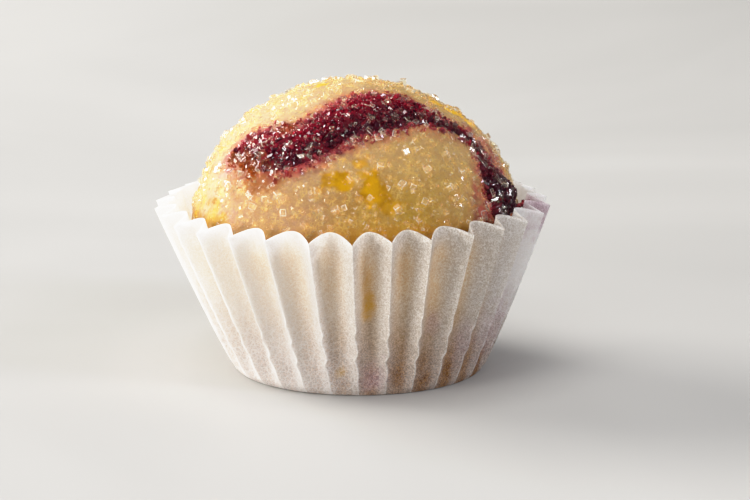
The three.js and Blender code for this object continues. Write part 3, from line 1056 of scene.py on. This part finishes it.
def paper_material():
    """Greaseproof paper: white, tan where it touches the dough, and brown and hairy towards the base, with
    painted shade on each pleat's shaded flank and towards the right, and painted light at the left and far
    right.
    """
    material, tree = new_material("paper")
    _, height = width_and_height(tree)
    fibres = spread(blotches(tree, 0.15, 2, 2.5), 0.4, 0.62)
    white = mix(fibres, srgb(248, 246, 242), srgb(255, 254, 253))
    grey = mix(fibres, srgb(208, 199, 187), srgb(251, 248, 244))
    tan = mix(fibres, srgb(238, 206, 154), srgb(254, 240, 212))
    brown = mix(fibres, srgb(122, 70, 22), srgb(198, 144, 76))
    berry = mix(fibres, srgb(168, 114, 134), srgb(224, 194, 206))
    # painted shade: grey mixed over the paper towards the right
    greasy = stored(tree, "greasy")
    # besides the real soak, this holds painted shade on the shaded flanks and painted light at the left and
    # far right
    soaked = stored(tree, "soaked")
    patches = spread(blotches(tree, 1.6, 2), 0.3, 0.6, 0.75, 1)
    low = spread(height, 12 * MM, 1 * MM)
    hairy = spread(height, 15 * MM, 3 * MM, 0.1, 0.75)
    # hairs show less where the paper is soaked and under the painted shade
    dry_and_unshaded = times(spread(soaked, 0, 1, 1, 0.25), spread(greasy, 0.3, 1, 1, 0.4))
    coats = [
        (greasy, grey),
        (times(soaked, patches), mix(low, tan, brown)),
        (stored(tree, "lemon"), srgb(236, 186, 40)),
        (stored(tree, "berry"), berry),
    ]
    for size in (0.35, 0.6):
        hairs = times(fine_lines(tree, size, 0.5), times(hairy, dry_and_unshaded))
        coats.append((hairs, srgb(252, 250, 248)))
    colour = layered(white, *coats)
    normal = bump(fibres, 0.03)
    inputs = {"Base Color": colour, "Roughness": 0.7, "Specular IOR Level": 0.3, "Normal": normal}
    front = node(tree, "BsdfPrincipled", inputs)
    through = node(tree, "BsdfTranslucent", {"Color": colour, "Normal": normal})
    mixed = node(tree, "MixShader", {0: 0.5, 1: front.outputs[0], 2: through.outputs[0]})
    return finish_material(material, mixed)


def dough_colour(tree, own):
    """Beige dough, rosier at the left and paler high up, with zest and juice, and a painted glow of light
    above the rim; own is a number a grain.
    """
    x, z = width_and_height(tree)
    left = spread(x, 6 * MM, -9 * MM)
    right = spread(x, 7 * MM, 13 * MM, 0, 0.8)
    high = spread(z, 19 * MM, 23.5 * MM, 0, 0.7)
    top = spread(z, 23.5 * MM, 26 * MM)
    top_left = times(left, spread(z, 20 * MM, 26 * MM, 0, 0.6))
    # painted light: a warm glow of light coming through the paper onto the dough just above the rim, weaker
    # at the left
    rim_glow = spread(z, 18.5 * MM, 15.5 * MM, 0, 0.9)
    rim_glow = times(rim_glow, spread(left, 0, 1, 1, 0.35))
    mottle = blotches(tree, 0.8, 3, 0.5)
    mottled = spread(mottle, 0.35, 0.65)
    broad = spread(blotches(tree, 4, 2), 0.4, 0.62, 0, 0.5)
    patches = spread(blotches(tree, 0.5, 1), 0.44, 0.62, 0, 0.35)
    crumb = mix(mottled, srgb(144, 107, 20), srgb(153, 119, 32))
    # the painted glow's tone, darker brown towards the right
    glow_tone = mix(right, srgb(178, 122, 12), srgb(118, 70, 0))
    peel = mix(mottled, srgb(138, 95, 0), srgb(172, 126, 0))
    peel = layered(peel, (top, srgb(206, 156, 0)), (right, srgb(220, 169, 0)))
    juice = mix(spread(mottle, 0.35, 0.6), srgb(100, 16, 36), srgb(150, 62, 58))
    coats = [
        (left, srgb(149, 113, 89)),
        (right, srgb(166, 132, 88)),
        (broad, srgb(156, 122, 68)),
        (high, srgb(163, 132, 91)),
        (top_left, srgb(175, 148, 125)),
        (spread(own, 0.3, 1, 0, 0.2), srgb(186, 154, 84)),
    ]
    for size in (0.36, 0.62):
        coats.append((times(fine_lines(tree, size, 0.2), patches), srgb(206, 172, 92)))
    coats += [
        (rim_glow, glow_tone),
        (stored(tree, "zest"), peel),
        (stored(tree, "stain"), juice),
        (stored(tree, "brown"), srgb(124, 66, 0)),
    ]
    return layered(crumb, *coats)


def dough_material():
    """Damp dough that light sinks into, less so where there is zest."""
    material, tree = new_material("dough")
    middle, own = cells(tree, 0.28)
    shader = node(tree, "BsdfPrincipled", {
        "Base Color": dough_colour(tree, own),
        "Roughness": spread(own, 0, 1, 0.4, 0.6),
        "Specular IOR Level": 0.15,
        "Subsurface Weight": spread(stored(tree, "zest"), 0, 1, 0.7, 0.25),
        "Subsurface Radius": (1, 0.6, 0.25),
        "Subsurface Scale": 0.8 * MM,
        "Normal": bump(middle, -0.04),
    })
    return finish_material(material, shader)


def jam_material():
    material, tree = new_material("jam")
    pulp = blotches(tree, 0.6, 3, 0.8)
    fine = blotches(tree, 0.2, 2)
    flesh = mix(spread(pulp, 0.35, 0.65), srgb(26, 2, 10), srgb(84, 4, 20))
    # painted light: red on the ribbon's thin, lit upper edge; painted shade: dark on its lower edge
    thin = times(stored(tree, "thin"), 0.8)
    brown = times(stored(tree, "brown"), 0.4)
    colour = layered(flesh, (thin, srgb(124, 8, 28)), (brown, srgb(130, 56, 14)))
    inputs = {"Base Color": colour, "Roughness": 0.12, "Specular IOR Level": 0.3, "Normal": bump(fine, 0.05)}
    return finish_material(material, node(tree, "BsdfPrincipled", inputs))


def finish_crystal(material, tone, roughness, clear_share):
    """Clear crystals that let the lamps through to what is below."""
    tree = material.node_tree
    clear = node(tree, "BsdfPrincipled", {
        "Base Color": tone,
        "Roughness": roughness,
        "IOR": SUGAR_BENDING,
        "Transmission Weight": clear_share,
    })
    open_way = node(tree, "BsdfTransparent", {"Color": tone})
    lamp_ray = node(tree, "LightPath").outputs["Is Shadow Ray"]
    mixed = node(tree, "MixShader", {0: lamp_ray, 1: clear.outputs[0], 2: open_way.outputs[0]})
    return finish_material(material, mixed)


def sugar_material():
    """Crystals, from clear to milky."""
    material, tree = new_material("sugar")
    roughness = spread(blotches(tree, 0.12, 2), 0.4, 0.7, 0.03, 0.15)
    clear_share = spread(stored(tree, "milk"), 0, 1, 0.98, 0.88)
    return finish_crystal(material, (0.97, 0.9, 0.7, 1), roughness, clear_share)


def finish_frost(material, tone, roughness, share):
    """A frosted surface that is clear but for a share of it."""
    tree = material.node_tree
    frosted = node(tree, "BsdfPrincipled", {"Base Color": tone, "Roughness": roughness})
    clear = node(tree, "BsdfTransparent")
    mixed = node(tree, "MixShader", {0: share, 1: clear.outputs[0], 2: frosted.outputs[0]})
    return finish_material(material, mixed)


def worn_edge_material():
    """Edges of crystals, from clear to frosted white."""
    material, tree = new_material("worn_edges")
    patches = spread(blotches(tree, 0.4, 1), 0.4, 0.55, 0.1, 0.8)
    share = times(stored(tree, "frost"), patches)
    return finish_frost(material, (0.9, 0.86, 0.76, 1), 0.2, share)


def fine_sugar_material():
    """Grains too small to see through: a thin pale veil over what is below them."""
    material, tree = new_material("fine_sugar")
    veil = spread(blotches(tree, 0.5, 1), 0.35, 0.65, 0.08, 0.25)
    return finish_frost(material, (0.64, 0.49, 0.22, 1), 0.4, veil)


def soaked_material():
    """Crystals that jam has soaked through: dark on the ribbon, pale and brownish past its edges."""
    material, tree = new_material("soaked_sugar")
    tint = stored(tree, "tint")
    pale = stored(tree, "pale")
    # the tint holds random tone and the painted light of the ribbon's upper edge and painted shade of its
    # lower edge
    on_ribbon_tone = mix(spread(tint, 0.1, 0.8), srgb(57, 5, 25), srgb(158, 16, 42))
    edge_tone = mix(tint, srgb(148, 28, 60), srgb(208, 120, 122))
    colour = layered(on_ribbon_tone, (pale, edge_tone), (stored(tree, "brown"), srgb(186, 104, 40)))
    return finish_crystal(material, colour, 0.05, spread(pale, 0, 1, 0.4, 0.85))


def floor_material():
    material, tree = new_material("floor")
    cloud = blotches(tree, 60, 3, 1)
    colour = mix(spread(cloud, 0.35, 0.65), srgb(170, 168, 164), srgb(178, 176, 172))
    inputs = {"Base Color": colour, "Roughness": 0.6, "Specular IOR Level": 0.1}
    return finish_material(material, node(tree, "BsdfPrincipled", inputs))


# Floor, light and camera

def make_floor():
    signs = ((-1, -1), (1, -1), (1, 1), (-1, 1))
    corners = [(x * FLOOR_HALF, y * FLOOR_HALF, FLOOR_LEVEL) for x, y in signs]
    floor = make_piece("floor", corners, [[0, 1, 2, 3]], floor_material(), smooth=False)


def add_light(name, place, size, power, colour, mirrored):
    """A soft square lamp that faces the sweet; glossy surfaces mirror it or don't."""
    light = bpy.data.lights.new(name, "AREA")
    light.shape = "SQUARE"
    light.size = size * MM
    light.energy = power
    light.color = colour
    lamp = add_object(name, light)
    lamp.visible_glossy = mirrored
    lamp.location = Vector(place) * MM
    lamp.rotation_euler = (Vector(LAMP_AIM) - Vector(place)).to_track_quat("-Z", "Y").to_euler()


def add_world():
    world = bpy.data.worlds.new("studio")
    world.use_nodes = True
    tree = world.node_tree
    direction = node(tree, "TexCoord").outputs["Generated"]
    sideways = node(tree, "SeparateXYZ", {0: direction}).outputs[0]
    colour = mix(spread(sideways, -1, 1), LEFT_SKY, RIGHT_SKY)
    tree.links.new(colour, tree.nodes["Background"].inputs["Color"])
    bpy.context.scene.world = world


def add_camera():
    camera = bpy.data.cameras.new("camera")
    camera.lens = CAMERA_LENS
    camera.clip_start = CAMERA_NEAR * MM
    eye = add_object("camera", camera)
    eye.location = (AIM + TO_CAMERA * CAMERA_DISTANCE) * MM
    eye.rotation_euler = (math.pi / 2 - CAMERA_LIFT, 0, 0)
    bpy.context.scene.camera = eye


def soften_highlights():
    """Rolls bright light off towards white, so that sunlit paper keeps its pleats."""
    view = bpy.context.scene.view_settings
    view.view_transform = "Standard"
    view.use_curve_mapping = True
    mapping = view.curve_mapping
    mapping.white_level = [BRIGHTEST] * 3
    points = mapping.curves[3].points
    room = 1 - ROLL_OFF
    for light in np.linspace(ROLL_OFF, BRIGHTEST, CURVE_POINTS, endpoint=False).tolist():
        points.new(light / BRIGHTEST, 1 - room * math.exp((ROLL_OFF - light) / room))
    for point in points:
        point.handle_type = "VECTOR"
    mapping.update()


def main():
    add_camera()
    for piece in (make_paper_case(), make_dough(), make_jam()):
        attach(piece, "root")
    make_sugar()
    make_floor()
    add_world()
    for name, lamp in LAMPS.items():
        add_light(name, *lamp)
    soften_highlights()


main()
